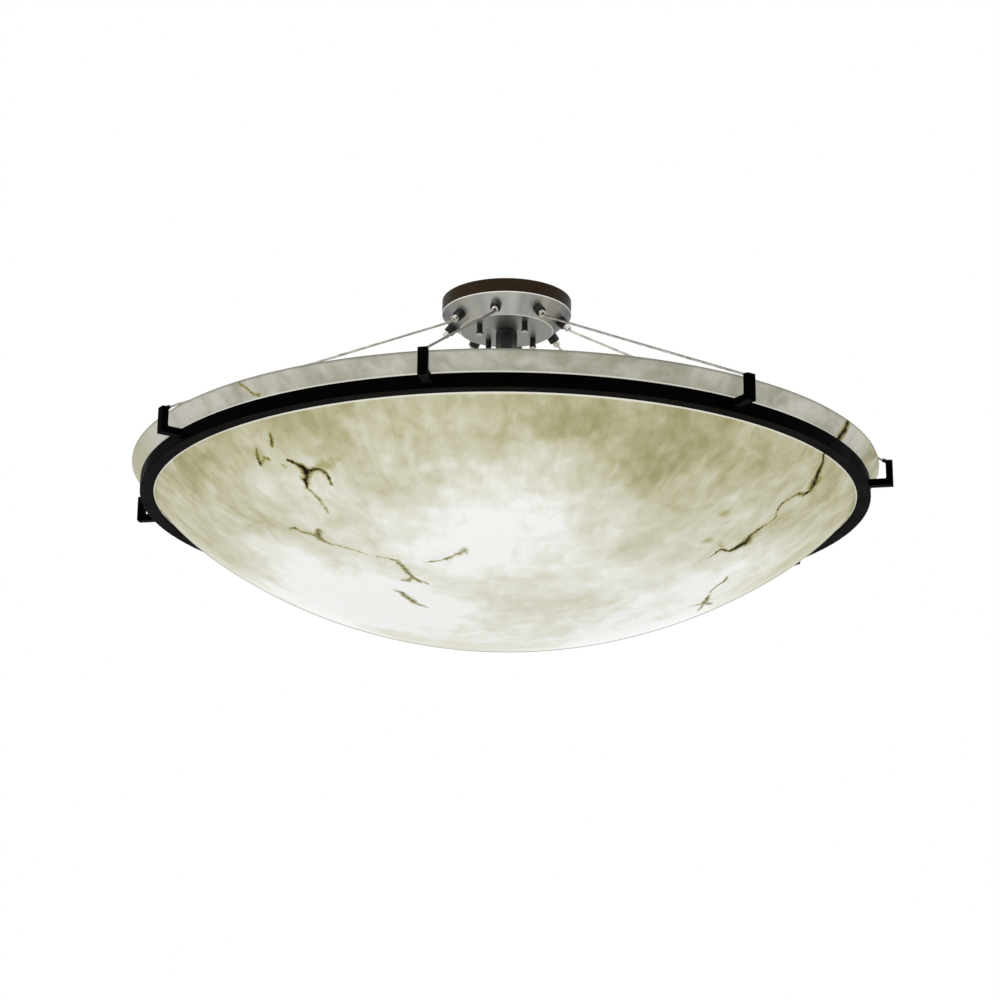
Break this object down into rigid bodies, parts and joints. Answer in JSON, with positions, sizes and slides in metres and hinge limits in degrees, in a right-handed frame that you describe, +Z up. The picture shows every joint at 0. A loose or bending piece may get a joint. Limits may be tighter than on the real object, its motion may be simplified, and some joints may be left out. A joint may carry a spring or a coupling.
{
  "type": "semi flush ceiling light",
  "caption": "Shallow translucent stone-look resin bowl in a black angle ring, hung by radial steel cables from a two-stage round canopy.",
  "frame": {"origin": "centre of the ceiling face of the mounting plate", "axes": "+Z up into the ceiling; -Y towards the viewer of the picture; the light hangs towards -Z"},
  "size_m": [1.2442, 1.2442, 0.5815],
  "materials": {
    "bronze": "dark bronze paint, satin",
    "satin_steel": "satin, finely brushed",
    "black_metal": "matte black powder coat",
    "zinc": "zinc plated, dull",
    "green_zinc": "green dyed zinc",
    "nickel": "bright nickel plate",
    "cable_steel": "stranded stainless wire rope",
    "silicone": "clear silicone strip",
    "resin_stone": "translucent cast resin with stone clouds and dark veins, lit from inside",
    "lead_jacket": "smooth black flexible jacket",
    "white_metal": "white gloss paint",
    "white_socket": "glazed white",
    "lamp_globe": "frosted white diffuser, lit"
  },
  "bodies": {
    "fixture": {"bowl": "resin_stone", "bracket_1": "black_metal", "bracket_2": "black_metal", "bracket_3": "black_metal", "bracket_4": "black_metal", "bracket_5": "black_metal", "bracket_6": "black_metal", "bracket_7": "black_metal", "bracket_8": "black_metal", "bracket_screws": "black_metal", "cable_1": "cable_steel", "cable_2": "cable_steel", "cable_3": "cable_steel", "cable_4": "cable_steel", "cable_5": "cable_steel", "cable_6": "cable_steel", "cable_7": "cable_steel", "cable_8": "cable_steel", "cable_terminals": "black_metal", "canopy_band": "bronze", "canopy_dish": "satin_steel", "canopy_nuts": "black_metal", "canopy_studs": "zinc", "grip_barrel_1": "black_metal", "grip_barrel_2": "black_metal", "grip_barrel_3": "black_metal", "grip_barrel_4": "black_metal", "grip_barrel_5": "black_metal", "grip_barrel_6": "black_metal", "grip_barrel_7": "black_metal", "grip_barrel_8": "black_metal", "grip_locknuts": "zinc", "ground_screw": "green_zinc", "hub_cover": "white_metal", "lamp_arms": "zinc", "lamp_bulb_1": "lamp_globe", "lamp_bulb_2": "lamp_globe", "lamp_bulb_3": "lamp_globe", "lamp_bulb_4": "lamp_globe", "lamp_hub": "white_metal", "lamp_lead": "lead_jacket", "lamp_socket_1": "white_socket", "lamp_socket_2": "white_socket", "lamp_socket_3": "white_socket", "lamp_socket_4": "white_socket", "mounting_plate": "zinc", "ring": "black_metal", "ring_pad": "silicone", "stem_boss": "black_metal", "stem_locknuts": "zinc", "stem_tube": "zinc"},
    "plunger_1": {"grip_plunger_1": "nickel"},
    "plunger_2": {"grip_plunger_2": "nickel"},
    "plunger_3": {"grip_plunger_3": "nickel"},
    "plunger_4": {"grip_plunger_4": "nickel"},
    "plunger_5": {"grip_plunger_5": "nickel"},
    "plunger_6": {"grip_plunger_6": "nickel"},
    "plunger_7": {"grip_plunger_7": "nickel"},
    "plunger_8": {"grip_plunger_8": "nickel"}
  },
  "joints": [
    {"name": "plunger_1_press", "type": "slide", "parent": "fixture", "child": "plunger_1", "axis": [0.1261, 0.661, 0.7397], "range_m": [0, 0.0025], "stiffness_N_per_m": 800, "springref_m": -0.003},
    {"name": "plunger_2_press", "type": "slide", "parent": "fixture", "child": "plunger_2", "axis": [-0.3782, 0.5566, 0.7397], "range_m": [0, 0.0025], "stiffness_N_per_m": 800, "springref_m": -0.003},
    {"name": "plunger_3_press", "type": "slide", "parent": "fixture", "child": "plunger_3", "axis": [-0.661, 0.1261, 0.7397], "range_m": [0, 0.0025], "stiffness_N_per_m": 800, "springref_m": -0.003},
    {"name": "plunger_4_press", "type": "slide", "parent": "fixture", "child": "plunger_4", "axis": [-0.5566, -0.3782, 0.7397], "range_m": [0, 0.0025], "stiffness_N_per_m": 800, "springref_m": -0.003},
    {"name": "plunger_5_press", "type": "slide", "parent": "fixture", "child": "plunger_5", "axis": [-0.1261, -0.661, 0.7397], "range_m": [0, 0.0025], "stiffness_N_per_m": 800, "springref_m": -0.003},
    {"name": "plunger_6_press", "type": "slide", "parent": "fixture", "child": "plunger_6", "axis": [0.3782, -0.5566, 0.7397], "range_m": [0, 0.0025], "stiffness_N_per_m": 800, "springref_m": -0.003},
    {"name": "plunger_7_press", "type": "slide", "parent": "fixture", "child": "plunger_7", "axis": [0.661, -0.1261, 0.7397], "range_m": [0, 0.0025], "stiffness_N_per_m": 800, "springref_m": -0.003},
    {"name": "plunger_8_press", "type": "slide", "parent": "fixture", "child": "plunger_8", "axis": [0.5566, 0.3782, 0.7397], "range_m": [0, 0.0025], "stiffness_N_per_m": 800, "springref_m": -0.003}
  ]
}
